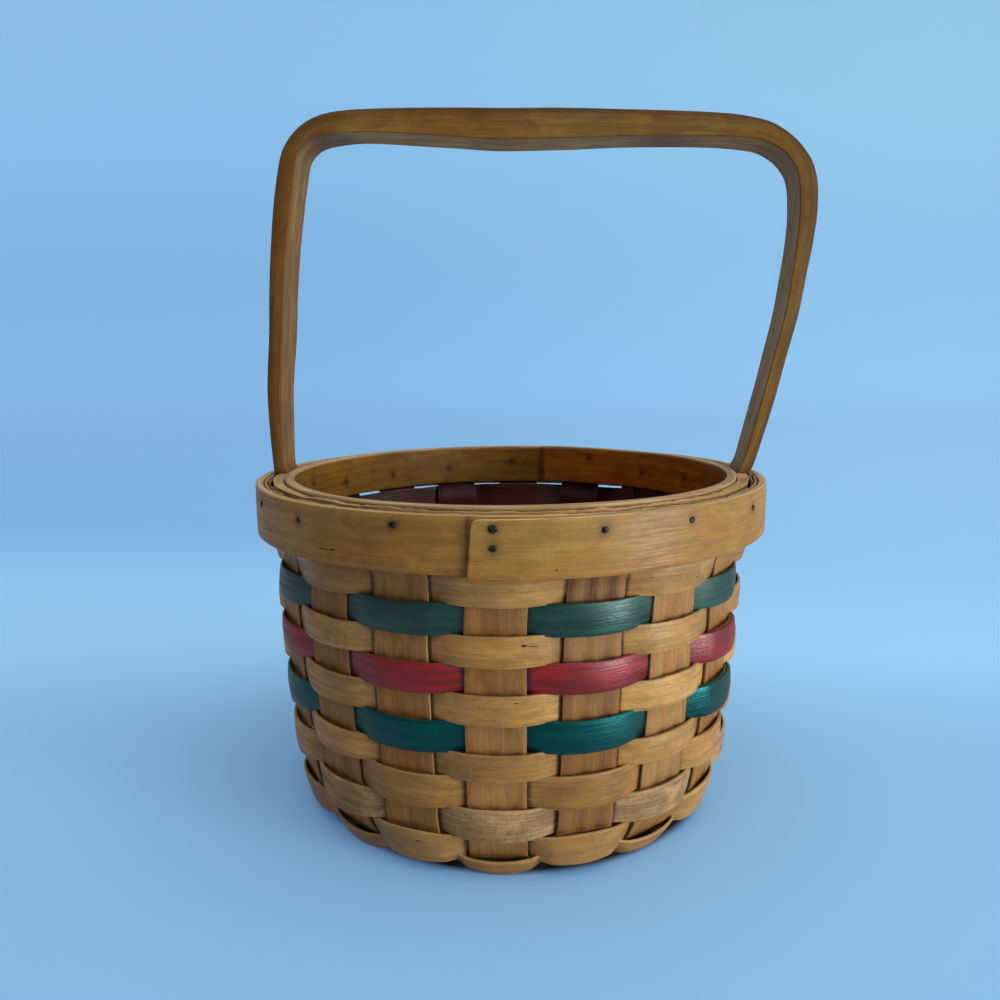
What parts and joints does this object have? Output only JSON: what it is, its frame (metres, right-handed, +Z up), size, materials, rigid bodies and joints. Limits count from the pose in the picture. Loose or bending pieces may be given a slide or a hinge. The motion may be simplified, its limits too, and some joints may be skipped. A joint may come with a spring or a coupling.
{
  "type": "woven wood basket",
  "caption": "Round wood-splint market basket with nailed bentwood rim hoops, coloured weaver rows and a tall fixed bentwood handle with a carved grip.",
  "frame": {"origin": "middle of the footprint box of the whole basket with its handle, on the surface it stands on", "axes": "+Z up, +X along the handle's bar from its left leg to its right leg as pictured, +Y from the front to the back"},
  "size_m": [0.2134, 0.2016, 0.2632],
  "materials": {
    "natural_splint": "satin",
    "upright_splint": "satin",
    "pale_splint": "matte",
    "green_grey_splint": "satin",
    "red_splint": "satin",
    "teal_splint": "satin",
    "hoop_wood": "satin",
    "filler_wood": "matte",
    "handle_wood": "satin",
    "nail_steel": "weathered"
  },
  "bodies": {
    "root": {"strip_front_back_1": "upright_splint", "strip_front_back_2": "upright_splint", "strip_front_back_3": "upright_splint", "strip_front_back_4": "upright_splint", "strip_front_back_5": "upright_splint", "strip_left_right_1": "upright_splint", "strip_left_right_2": "upright_splint", "strip_left_right_3": "upright_splint", "strip_left_right_4": "upright_splint", "weaver_row_1": "natural_splint", "weaver_row_2": "green_grey_splint", "weaver_row_3": "natural_splint", "weaver_row_4": "red_splint", "weaver_row_5": "natural_splint", "weaver_row_6": "teal_splint", "weaver_row_7": "natural_splint", "weaver_row_8": "natural_splint", "weaver_row_9": "pale_splint", "weaver_row_10": "natural_splint", "weaver_row_11": "natural_splint", "rim_filler_outer": "filler_wood", "rim_filler_front": "filler_wood", "rim_filler_back": "filler_wood", "hoop_outer": "hoop_wood", "hoop_inner": "hoop_wood", "handle": "handle_wood", "nail_upright_0": "nail_steel", "nail_upright_1": "nail_steel", "nail_upright_2": "nail_steel", "nail_upright_3": "nail_steel", "nail_upright_4": "nail_steel", "nail_upright_5": "nail_steel", "nail_upright_6": "nail_steel", "nail_upright_7": "nail_steel", "nail_upright_8": "nail_steel", "nail_upright_9": "nail_steel", "nail_upright_10": "nail_steel", "nail_upright_11": "nail_steel", "nail_upright_12": "nail_steel", "nail_upright_13": "nail_steel", "nail_upright_14": "nail_steel", "nail_upright_15": "nail_steel", "nail_upright_16": "nail_steel", "nail_upright_17": "nail_steel", "nail_hoop_lap": "nail_steel", "nail_handle_right": "nail_steel", "nail_handle_left": "nail_steel"}
  },
  "joints": []
}
